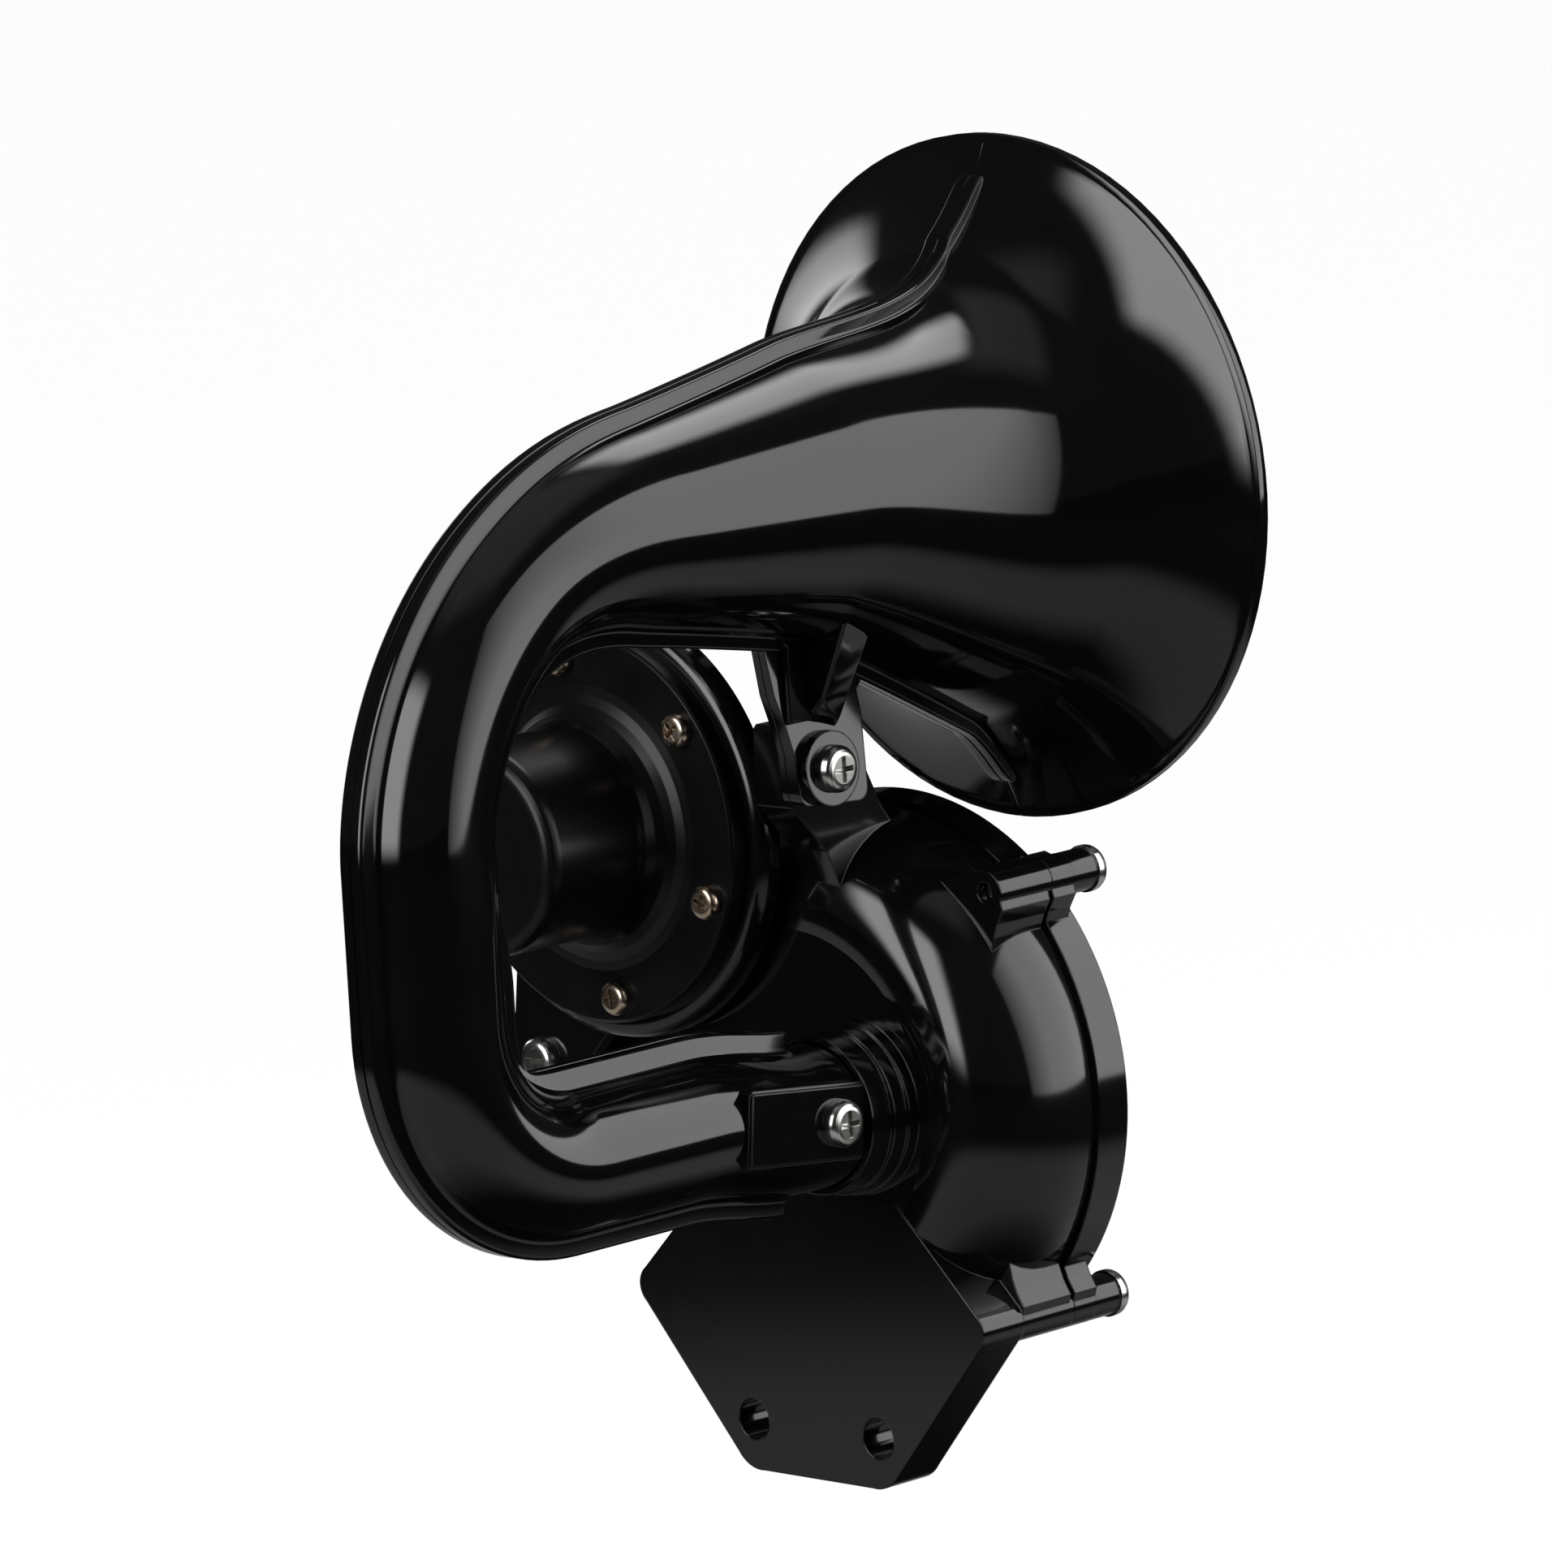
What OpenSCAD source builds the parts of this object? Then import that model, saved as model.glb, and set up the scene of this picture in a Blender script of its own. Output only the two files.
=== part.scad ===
// Electric air horn for a car: a motor pump, a diaphragm sound head and a C-shaped trumpet in one unit.
// Millimetres, +Z up. The bell faces -Y. The origin lies midway between the two mounting holes,
// on the back face of the mounting plate. "Right" below is the horn's own right, which is -X.

/* [Mounting plate] */
// Distance between the centres of the two mounting holes
hole_spacing = 29; // [24:0.5:32]
// Diameter of each mounting hole, clear for an M6 screw
hole_d = 7; // [5:0.5:8]
// Thickness of the mounting plate
plate_t = 10; // [7:0.5:11]
// Height of the sound head's axis above the mounting holes
head_h = 57; // [55:0.5:60]

/* [Sound head] */
// Outer radius of the bowl-shaped body at its seam
body_r = 47.3; // [46:0.1:48]
// Radius of the flat middle of the bowl's back
flat_r = 32; // [29:0.5:34]
// Distance from the plate's back face to the body's rim
body_depth = 21.6; // [20:0.1:23]
// Outer radius of the front cover
cover_r = 48; // [47:0.1:49]
// Distance from the plate's back face to the front of the cover's rim
cover_front = 30.7; // [29:0.1:32]
// Distance of each clamp screw from the head's axis, across and up
post_xy = 36.3; // [36:0.1:37]
// Radius of the clamp posts
post_r = 3.8; // [3.4:0.1:4.2]
// Distance from the plate's back face to the seats of the clamp screws
post_front = 34; // [33:0.1:35]

/* [Trumpet] */
// Offset of the trumpet's middle plane to the right of the head's axis
horn_side = 12.7; // [11:0.1:14]
// Outer radius of the bell's rim
bell_r = 58; // [54:0.5:62]
// Outer radius of the tube before it widens
tube_r = 12.2; // [11.8:0.1:12.6]
// Wall thickness of the trumpet
horn_wall = 2.2; // [1.8:0.1:2.6]
// Height of the welded rib over the tube
rib_h = 3.4; // [2:0.1:4.5]
// Thickness of the rib on each half
rib_t = 2.6; // [2:0.1:3]
// Distance from the plate's back face forward to the bell's mouth
mouth_y = 46.8; // [44:0.2:50]
// Distance from the plate's back face rearward to the upright tube's centre
reach_y = 95.9; // [92:0.1:98]
// Height of the neck's centre line over the head's axis
neck_z = 103.9; // [101:0.1:106]
// Height of the bell's centre over the head's axis
bell_z = 99.7; // [98:0.1:101]

/* [Motor pump] */
// Offset of the pump's axis to the left of the head's axis
pump_x = 35.5; // [34:0.1:37]
// Height of the pump's axis over the head's axis
pump_z = 44.8; // [43:0.1:46]
// Radius of the pump base
base_r = 37; // [36:0.1:38]
// Radius of the motor cover's flange
flange_r = 33.5; // [33:0.1:34]
// Radius of the motor cover's hub
hub_r = 18; // [17.6:0.1:19]
// Distance from the plate's back face rearward to the hub's end
hub_end = 37; // [36:0.5:40]
// Radius of the circle of cover screws
screw_circle = 29.1; // [28.6:0.1:29.6]

/* [Hidden] */
$fn = 72;

// Distances along Y are measured forward from the plate's back face, so what lies behind it is negative.
// Sound head
wall = 2.6;
shoulder = 18;
disc_back = body_depth + 0.6;
disc_front = disc_back + 0.4;
clamp_edge = body_r - 0.9;
chamber_r = 42;
seat_top = body_depth - 0.4;
airway_r = 6;
duct_z = 7.5;
// The plate stands proud of the bowl's flat back by the relief, up to just below the socket
relief = 0.3;
pad_top = -15.7;

// Screws: shank radius, head radius and head height. A tapped hole is modelled at the thread's root
m4 = [1.62, 4, 2.6];
m3 = [1.22, 3, 2];
m4_tapped = 1.65;
m4_clear = 2.2;
m3_tapped = 1.25;
m3_clear = 1.6;

// Stepped socket for the trumpet: radius and rear end of each step, then the tail inside the tube
socket_steps = [[15.1, -2], [14.5, -4.9], [13.7, -9.4]];
socket_floor = -6;
tail_r = tube_r - horn_wall - 0.4;
tail_end = -24;
tail_ring = -11.2;

// Trumpet path, rearward and up from the head's axis
low_z = 3.1;
bend_r = reach_y - 68;
top_y = 57;
top_z = 60;
rib_stop = 38.2;
lip = [2.4, 1.4];
lock = [16.8, 1.3];
pad_face = 13.2;
stay = [4.4, 58];
stay_side = [-4.3, 1.5];
lug_far = horn_side - stay_side[1];
lug_near = 3.2;

// Pump and motor
base_back = -6.5;
base_front = -1.5;
flange_back = -10;
pocket_floor = -3;
ring_r = 24.8;
ring_bore = 20;
ring_shift = 1.2;
plate_front = -7.1;
plate_rear = -8.7;
port_angle = atan2(pump_z, pump_x);
port_pos = 19.2;
rotor_r = ring_bore - ring_shift - 0.4;
rotor_ends = [plate_front + 0.3, pocket_floor - 0.3];
vanes = 5;
vane = [8, 1.2];
lug = [55.9, 2];
lug_r = 7.8;
lug_back = -4;
inner_screws = [[10.9, 25.9], [27.4, 15.2]];
inner_seat = wall - 0.3;
shaft_r = 1.6;
shaft_ends = [-35, -3.5];
can_r = 15.2;
can_back = -33;
hub_floor = hub_end - 1.7;
core_r = 11.1;
core_ends = [-28, -18];
poles = 5;
tooth = 3.2;
terminal_angle = -9;

// Local frames: x stays, y points up and z points forward
module on_head() translate([0, 0, head_h]) rotate([90, 0, 0]) children();
module on_socket() on_head() translate([-horn_side, 0, 0]) children();
module on_pump() on_head() translate([pump_x, pump_z, 0]) children();
module at_posts() on_head() for (x = [-1, 1], y = [-1, 1])
    translate([x * post_xy, y * post_xy, 0]) rotate([0, 0, atan2(y, x)]) children();
// Middle plane of the trumpet, with y pointing rearward and z up
module on_middle() translate([-horn_side, 0, head_h]) children();
// A frame on that plane with its z axis pointing out to the horn's right
module out_right(x, y, z) on_middle() translate([x, y, z]) rotate([0, -90, 0]) children();

module rod(r, from, to) translate([0, 0, from]) cylinder(r = r, h = to - from);
module tube(r, hole, from, to) difference() {
    rod(r, from, to);
    rod(hole, from - 1, to + 1);
}
// Arc-shaped slot or strip around the local z axis
module arc(r1, r2, a1, a2, from, to) translate([0, 0, from]) linear_extrude(to - from)
    polygon([for (i = [0:16]) let (a = a1 + (a2 - a1) * i / 16) r2 * [cos(a), sin(a)],
        for (i = [16:-1:0]) let (a = a1 + (a2 - a1) * i / 16) r1 * [cos(a), sin(a)]]);
// Pan-head machine screw with a cross recess: its seat is at z = 0 and the shank points down
module pan_screw(size, length) difference() {
    rotate_extrude() polygon([[0, -length], [size[0] - 0.3, -length], [size[0], -length + 0.5], [size[0], 0],
        [size[1], 0], for (a = [0:18:90]) [size[1] * (0.6 + 0.4 * cos(a)), size[2] * (0.4 + 0.6 * sin(a))],
        [0, size[2]]]);
    for (a = [0, 90]) rotate([0, 0, a]) translate([-size[1] * 0.55, -size[1] * 0.11, size[2] * 0.45])
        cube([size[1] * 1.1, size[1] * 0.22, size[2]]);
}
module o_ring(mid_r, wire_r, z) translate([0, 0, z]) rotate_extrude($fn = 48) translate([mid_r, 0])
    circle(r = wire_r, $fn = 16);

// Sound head: a bowl with a flat back and an elliptical shoulder
function bowl(flat, r, floor, top) = [[0, floor],
    for (a = [0:9:90]) [flat + (r - flat) * sin(a), floor + (shoulder - floor) * (1 - cos(a))],
    [r, top], [0, top]];
// Mounting plate: straight sides between a small circle at each clamp post and a larger one at the foot.
// The straight sides are tucked slightly inside the circles, so that the two never only touch
foot = [hole_spacing / 2 - 1.1, -head_h - 2.5];
foot_r = 6.3;
tuck = 0.05;
edge = [post_xy, -post_xy] - foot;
edge_angle = atan2(edge[1], edge[0]) - acos((foot_r - post_r) / norm(edge));
edge_out = [cos(edge_angle), sin(edge_angle)];
module plate_outline() for (side = [0, 1]) mirror([side, 0]) {
    corner = [post_xy, -post_xy];
    slope = [1, 1] * (post_r - tuck) / sqrt(2);
    polygon([[0, -10], [14, -14] + slope, corner + slope, corner, corner + (post_r - tuck) * edge_out,
        foot + (foot_r - tuck) * edge_out, foot - [0, foot_r - tuck], [0, foot[1] - foot_r + tuck]]);
    translate(corner) circle(r = post_r);
    translate(foot) circle(r = foot_r);
}
// Ear that carries a clamp post on the rim. Its flanks are hollow and end in a small ledge under the post
ear_side = [[-9, 9.4], [-6, 7.6], [-4.2, 6.4], [-2, 5.4], [0.8, 4.7], [1.6, 3.2]];
module ear(from, to, post_end) {
    rod(post_r - 0.12, from, post_end);
    translate([0, 0, from]) linear_extrude(to - from)
        polygon([for (p = ear_side) [p[0], -p[1]], for (i = [len(ear_side) - 1:-1:0]) ear_side[i]]);
}
// Arm that carries the trumpet's stay, rising from the bowl's shoulder
module stay_arm() on_head() rotate([0, -90, 0]) translate([0, 0, lug_near])
    linear_extrude(lug_far - lug_near) polygon([[-8.8, 51.5], [-1, 43], [2, 36], [10, 36], [16, 44], [12.4, 49],
        [9, 56], [6.6, 61], [2, 65], [-8, 65], [-8.8, 64.2]]);
module head_body() color([0.05, 0.05, 0.055]) difference() {
    union() {
        difference() {
            union() {
                on_head() rotate_extrude() polygon(bowl(flat_r, body_r, relief, body_depth));
                at_posts() ear(plate_t, body_depth, disc_front);
                stay_arm();
                on_head() {
                    translate([0, 0, relief]) linear_extrude(plate_t - relief) plate_outline();
                    linear_extrude(plate_t - 1) intersection() {
                        plate_outline();
                        translate([-60, pad_top - 80]) square([120, 80]);
                    }
                    translate([lug[0], lug[1], 0]) rod(6, base_front, 12);
                    translate([39, lug[1] - 5, 3]) cube([lug[0] - 39, 10, 8.5]);
                    intersection() {
                        rod(flat_r - 1, base_front, 1);
                        translate([pump_x, pump_z, 0]) rod(base_r - 3, base_front, 1);
                    }
                }
                on_pump() rotate([0, 0, port_angle]) translate([-port_pos, 0, 0]) rod(6.6, base_front, 9);
            }
            on_head() rotate_extrude() polygon(bowl(flat_r - wall, chamber_r, wall, body_depth + 1));
        }
        on_head() rod(8, 1, seat_top);
        on_head() translate([-horn_side, -7, 1]) cube([horn_side, 14, 13]);
        on_socket() {
            rod(8.6, 1, 14);
            for (s = socket_steps) rod(s[0], s[1], 1);
            rotate_extrude() polygon([[0, 0], [tail_r, 0], [tail_r, -14], [tail_r - 1, tail_end], [0, tail_end]]);
        }
    }
    on_head() {
        rod(airway_r, 2.8, body_depth);
        translate([-horn_side, 0, duct_z]) rotate([0, 90, 0]) cylinder(r = 4.2, h = horn_side);
        translate([lug[0], lug[1], 0]) rod(m4_tapped, -3, 9);
        for (p = inner_screws) translate([p[0], p[1], 0]) {
            rod(m4_clear, -3, 5);
            rod(m4[1] + 0.3, inner_seat, 8);
        }
        for (x = [-1, 1]) translate([x * hole_spacing / 2, -head_h, -1]) cylinder(d = hole_d, h = plate_t + 2);
    }
    on_pump() rotate([0, 0, port_angle]) translate([-port_pos, 0, 0]) {
        rod(3.4, -3, 9);
        tube(5.8, 4.2, base_front - 1, base_front + 1);
    }
    on_socket() {
        rod(airway_r, tail_end - 1, 12.4);
        tube(tube_r + 0.3, tail_r, socket_steps[2][1] - 1, socket_floor);
        tube(tail_r + 1, tail_r - 1.1, tail_ring - 0.75, tail_ring + 0.75);
    }
    at_posts() rod(m4_tapped, 3, disc_front + 1);
    out_right(0, lock[0], lock[1]) rod(m4_tapped, 3, 12);
    out_right(0, stay[0], stay[1]) {
        rod(m4_clear, lug_near - horn_side - 1, 0);
        translate([0, 0, lug_near - horn_side - 1]) cylinder(r = 4.1, h = 4.4, $fn = 6);
    }
}

module head_cover() color([0.05, 0.05, 0.055]) difference() {
    union() {
        on_head() {
            difference() {
                rotate_extrude() polygon([[0, disc_front], [cover_r, disc_front], [cover_r, cover_front - 1.2],
                    [cover_r - 1.2, cover_front], [41, cover_front], [38.5, cover_front - 2],
                    [14, cover_front - 2], [12, cover_front], [0, cover_front]]);
                rotate_extrude() polygon([[0, disc_front - 1], [chamber_r, disc_front - 1], [chamber_r, 25],
                    [38, 26.4], [0, 26.4]]);
            }
            for (a = [22.5:45:360]) rotate([0, 0, a]) translate([11, -1, 28]) cube([29, 2, 2.1]);
        }
        at_posts() {
            ear(disc_front, 28, 28);
            rod(post_r - 0.15, 27, post_front);
            translate([-9, -1.5, 27]) cube([9, 3, cover_front - 27.5]);
        }
    }
    at_posts() rod(m4_clear, disc_front - 1, post_front + 1);
}
module cover_gasket() color([0.15, 0.15, 0.15]) on_head() tube(clamp_edge, chamber_r, body_depth, disc_back);
module diaphragm() color("silver") on_head() tube(clamp_edge, 2.05, disc_back, disc_front);
module diaphragm_boss() color("goldenrod") on_head() rotate_extrude()
    polygon([[0, seat_top + 0.25], [7, seat_top + 0.25], [7, disc_back], [2, disc_back], [2, disc_front],
        [6, disc_front], [6, 24], [3.4, 24], [3.4, 25.6], [0, 25.6]]);
module clamp_screws() color("gainsboro") at_posts() translate([0, 0, post_front]) pan_screw(m4, 22);

// Trumpet path: each station is [rearward, up, outer radius, height of the rib]
function ease(t) = t <= 0 ? 0 : t >= 1 ? 1 : t * t * (3 - 2 * t);
function flare(y) = 24.3 - 0.165 * y + (bell_r - 32) * exp(-(y + mouth_y) / 15)
    + 2.8 * exp(-(y + 44.4) / 5);
function neck(y) = neck_z + (bell_z - neck_z) * ease((10 - y) / 42);
function rib(y) = let (t = 1 - (y + rib_stop) / 3.8) t <= 0 ? rib_h : t >= 1 ? 0 : rib_h * sqrt(1 - t * t);
low_path = [for (y = [6.2, 10, 14, 17.2, 18, 19, 21, 24, 28, 32, 36, 42, 55])
    [y, low_z * ease((y - 14) / 28), tube_r, rib_h * ease((y - 17.2) / 1.8)]];
low_bend = [for (a = [0:10:90]) [68 + bend_r * sin(a), low_z + bend_r * (1 - cos(a)), tube_r, rib_h]];
top_bend = [for (a = [0:9:81]) [top_y + (reach_y - top_y) * cos(a), top_z + (neck_z - top_z) * sin(a),
    tube_r + (flare(top_y) - tube_r) * ease(a / 90), rib_h]];
bell_path = [for (y = [57, 49, 41, 33, 25, 17, 10, 4, -2, -7, -12, -17, -21, -25, -28, -30.5, -32.5, -34.4, -35.6,
    -36.8, -37.6, -38.2, -39.4, -40.8, -42.2, -43.4]) [y, neck(y), flare(y), rib(y)]];
lip_path = [[lip[0] - mouth_y, bell_z, bell_r - lip[1], 0], [lip[0] - mouth_y - 0.1, bell_z, bell_r, 0],
    [0.5 - mouth_y, bell_z, bell_r, 0], [-mouth_y, bell_z, bell_r - 0.5, 0]];
path = concat(low_path, low_bend, top_bend, bell_path, lip_path);
last = len(path) - 1;
function heading(i) = i < 4 ? 0 : i > last - 10 ? 180
    : let (p = path[i - 1], q = path[i + 1]) atan2(q[1] - p[1], q[0] - p[0]);
// Half of the wall with its rib, as [sideways, away from the inside of the C]
function half_wall(r, inner, rib) = let (
        t = rib > 0.05 ? rib_t : rib_t * 0.8,
        s = rib > 0.05 ? r + rib : sqrt(r * r - t * t),
        k = asin(rib_t / r))
    concat([[0, inner], [0, r + rib], [t, s]],
        [for (j = [0:16]) let (a = k + (180 - 2 * k) * j / 16) [r * sin(a), r * cos(a)]],
        [[t, -s], [0, -r - rib], [0, -inner]],
        [for (j = [19:-1:1]) let (a = 9 * j) [inner * sin(a), inner * cos(a)]]);
function bore(i) = i > last - 4 ? bell_r - lip[1] - horn_wall + (i - last + 3) * 0.25 : path[i][2] - horn_wall;
ring_n = len(half_wall(12, 10, 0));
// One end of the wall: strips between the outer and the inner line, which have as many points as each other
function end_strips(first) = [for (j = [0:ring_n / 2 - 2])
    [first + (ring_n - j) % ring_n, first + 1 + j, first + 2 + j, first + ring_n - 1 - j]];
module half_tube() polyhedron(points = [for (i = [0:last]) let (s = path[i], a = heading(i))
        for (p = half_wall(s[2], bore(i), s[3])) [-p[0], s[0] + p[1] * sin(a), s[1] - p[1] * cos(a)]],
    faces = concat([for (i = [0:last - 1], j = [0:ring_n - 1]) let (a = i * ring_n, k = (j + 1) % ring_n)
            each [[a + k, a + j, a + j + ring_n], [a + k, a + j + ring_n, a + k + ring_n]]],
        end_strips(0), [for (f = end_strips(last * ring_n)) [f[3], f[2], f[1], f[0]]]), convexity = 10);
// Outline of the stay that hangs from the neck, as [rearward, up]
stay_outline = concat([for (y = [16.9:-3.3:-9.5]) [y, neck(y) - flare(y) + 1]],
    [[-4.6, 69.8], [-5.2, 66]], [for (a = [0:15:180]) [3.9 - 9.1 * cos(a), 60.5 - 9.1 * sin(a)]],
    [[13, 66], [14.8, 71.4]]);
module stay_plate(t) rotate([0, -90, 0]) linear_extrude(t) polygon([for (p = stay_outline) [p[1], p[0]]]);
module trumpet_right_half() color([0.04, 0.04, 0.045]) on_middle() difference() {
    union() {
        half_tube();
        difference() {
            translate([0, lock[0], lock[1]]) rotate([6.4, 0, 0])
                translate([-pad_face, 10.4 - lock[0], -6.5]) cube([pad_face - 7, 27.2, 13]);
            translate([0, 4, -0.3]) rotate([-84.4, 0, 0]) cylinder(r = tube_r - 1.1, h = 40);
            translate([-6, 0, -9]) cube([20, 50, 20]);
        }
        stay_plate(2.6);
        translate([0, stay[0], stay[1]]) rotate([0, -90, 0]) rod(7, 0, -stay_side[0]);
        translate([0, 5, 69]) rotate([15, 0, 0]) translate([0, -1, 0]) rotate([90, 0, 0])
            translate([0, 0, -1]) linear_extrude(2) polygon([[-1, 0], [-4, 0.3], [-9, 11.3], [-1, 9.6]]);
    }
    translate([0, lock[0], lock[1]]) rotate([0, -90, 0]) rod(m4_clear, 7, 20);
    translate([0, stay[0], stay[1]]) rotate([0, -90, 0]) rod(m4_clear, -3, 9);
}
module trumpet_left_half() color([0.04, 0.04, 0.045]) on_middle() difference() {
    mirror([1, 0, 0]) union() {
        half_tube();
        stay_plate(stay_side[1]);
    }
    translate([0, stay[0], stay[1]]) rotate([0, 90, 0]) rod(m4_clear, -3, 9);
}
module socket_screw() color("gainsboro") out_right(-pad_face, lock[0], lock[1]) pan_screw(m4, 6.6);
module socket_o_ring() color([0.1, 0.1, 0.1]) on_socket() o_ring(tail_r - 0.4, 0.6, tail_ring);
module stay_screw() color("gainsboro") out_right(stay_side[0], stay[0], stay[1]) pan_screw(m4, 14);
module stay_nut() color("gainsboro") out_right(0, stay[0], stay[1])
    translate([0, 0, lug_near - horn_side + 0.2]) difference() {
        cylinder(r = 4.04, h = 3.2, $fn = 6);
        rod(m4_tapped, -1, 5);
    }

// Pump base with its lug, the pocket for the pump and the port that feeds the sound head
module pump_base() color([0.05, 0.05, 0.055]) on_pump() difference() {
    union() {
        rotate_extrude() polygon([[0, base_front], [base_r - 0.6, base_front], [base_r, base_front - 0.6],
            [base_r, -3.9], for (a = [15:15:90]) [base_r - 2.6 + 2.6 * cos(a), -3.9 - 2.6 * sin(a)], [0, base_back]]);
        translate([0, 0, lug_back]) linear_extrude(base_front - lug_back) {
            c = [lug[0] - pump_x, lug[1] - pump_z];
            u = c / norm(c);
            v = [-u[1], u[0]];
            translate(c) circle(r = lug_r);
            polygon([c + v * lug_r, u * 28 + v * 14, u * 28 - v * 14, c - v * lug_r]);
        }
        rotate([0, 0, port_angle]) translate([port_pos + 1, 0, 0]) tube(9, 7.5, base_front - 0.5, 7);
        rotate([0, 0, port_angle]) translate([port_pos + 1, 0, 0]) for (y = [-4.4, 0, 4.4])
            translate([-8, y - 0.8, 5.8]) cube([16, 1.6, 1.2]);
    }
    rod(ring_r + 0.05, base_back - 1, pocket_floor);
    tube(27.1, 25.6, base_back - 1, base_back + 1);
    rotate([0, 0, port_angle]) {
        arc(17.8, 20, -20, 20, -4, 0);
        arc(18, 20.2, 171, 189, -4, 0);
    }
    for (a = [0:60:300]) rotate([0, 0, a + 21]) translate([screw_circle, 0, 0]) rod(m3_tapped, base_back - 1, -2);
    translate([lug[0] - pump_x, lug[1] - pump_z, 0]) rod(m4_clear, -6, 0);
    for (p = inner_screws) translate([p[0] - pump_x, p[1] - pump_z, 0]) rod(m4_tapped, -5.6, 0);
}
module base_screws() color("gainsboro") on_head() {
    translate([lug[0], lug[1], lug_back]) rotate([180, 0, 0]) pan_screw(m4, 11);
    for (p = inner_screws) translate([p[0], p[1], inner_seat]) pan_screw(m4, 7.7);
}
module air_port_o_ring() color([0.1, 0.1, 0.1]) on_pump() rotate([0, 0, port_angle])
    translate([-port_pos, 0, 0]) o_ring(5, 0.48, base_front + 0.5);
module pump_seal() color([0.1, 0.1, 0.1]) on_pump() o_ring(26.35, 0.48, base_back + 0.5);

// Vane pump between the base and the motor
module cam_ring() color("silver") on_pump() difference() {
    rod(ring_r, plate_front, pocket_floor);
    rotate([0, 0, port_angle - 90]) translate([ring_shift, 0, 0]) rod(ring_bore, plate_front - 1, pocket_floor + 1);
}
module port_plate() color("darkgray") on_pump() difference() {
    union() {
        rod(ring_r, plate_rear, plate_front);
        rod(5, plate_rear - 1.8, plate_front);
    }
    rod(3, -12, 0);
    for (x = [-8, 8]) translate([x, 0, plate_front]) {
        rod(1.1, -3, 1);
        rotate_extrude() polygon([[0, -1.05], [1.1, -1.05], [2.1, 0], [2.1, 1], [0, 1]]);
    }
}
module motor_screws() color("gainsboro") on_pump() for (x = [-8, 8]) translate([x, 0, plate_front])
    rotate_extrude($fn = 32) polygon([[0, -4], [0.85, -4], [1, -3.8], [1, -1.05], [2, -0.05], [0.5, -0.05],
        [0.5, -0.5], [0, -0.5]]);
module pump_rotor() color("dimgray") on_pump() difference() {
    rod(rotor_r, rotor_ends[0], rotor_ends[1]);
    rod(shaft_r + 0.02, -8, 0);
    for (i = [1:vanes]) rotate([0, 0, i * 360 / vanes]) translate([rotor_r - vane[0] - 0.3, -vane[1] / 2 - 0.05, -8])
        cube([12, vane[1] + 0.1, 8]);
}
module pump_vanes() color("saddlebrown") on_pump() for (i = [1:vanes]) rotate([0, 0, i * 360 / vanes])
    translate([rotor_r - vane[0] - 0.1, -vane[1] / 2, rotor_ends[0]])
        cube([vane[0], vane[1], rotor_ends[1] - rotor_ends[0]]);

// Motor cover: a flange, a concave fillet and a hub with a rounded end
cover_outer = concat([[flange_r, base_back], [flange_r, flange_back + 0.5], [flange_r - 0.5, flange_back]],
    [for (a = [0:15:90]) [hub_r + 6.5 - 6.5 * sin(a), flange_back - 6.5 + 6.5 * cos(a)]],
    [for (a = [0:15:90]) [hub_r - 2.5 + 2.5 * cos(a), 2.5 - hub_end - 2.5 * sin(a)]]);
module motor_cover() color([0.07, 0.07, 0.075]) on_pump() difference() {
    rotate_extrude() polygon(concat(cover_outer, [[0, -hub_end], [0, -hub_floor], [can_r + 0.1, -hub_floor],
        [can_r + 0.1, plate_rear], [ring_r + 0.05, plate_rear], [ring_r + 0.05, base_back]]));
    for (a = [0:60:300]) rotate([0, 0, a + 21]) translate([screw_circle, 0, 0]) rod(m3_clear, flange_back - 1, 0);
    rotate([0, 0, terminal_angle]) for (y = [-4.5, 4.5])
        translate([10, y - 0.5, -16.4]) cube([20, 1, 5.8]);
}
module cover_screws() color("gainsboro") on_pump() for (a = [0:60:300]) rotate([0, 0, a + 21])
    translate([screw_circle, 0, flange_back]) rotate([180, 0, 0]) pan_screw(m3, 7.4);
module terminal_block() color([0.12, 0.12, 0.12]) on_pump() difference() {
    rotate([0, 0, terminal_angle]) translate([16, -7, -17.4]) cube([10.5, 14, 7.4]);
    rotate_extrude() polygon(concat([[0, base_back]], cover_outer, [[0, -hub_end]]));
    rotate([0, 0, terminal_angle]) for (y = [-4.5, 4.5]) translate([10, y - 0.45, -16.35]) cube([20, 0.9, 5.7]);
}
module terminals() color("gold") on_pump() rotate([0, 0, terminal_angle]) for (y = [-4.5, 4.5]) difference() {
    translate([11, y - 0.4, -16.3]) cube([23, 0.8, 5.6]);
    translate([30.5, y + 1, -13.5]) rotate([90, 0, 0]) cylinder(r = 0.8, h = 2, $fn = 24);
}
module intake_filter() color([0.3, 0.3, 0.28]) on_pump() rotate([0, 0, port_angle])
    translate([port_pos + 1, 0, 0]) rod(7.3, base_front + 0.1, 5.6);

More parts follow.
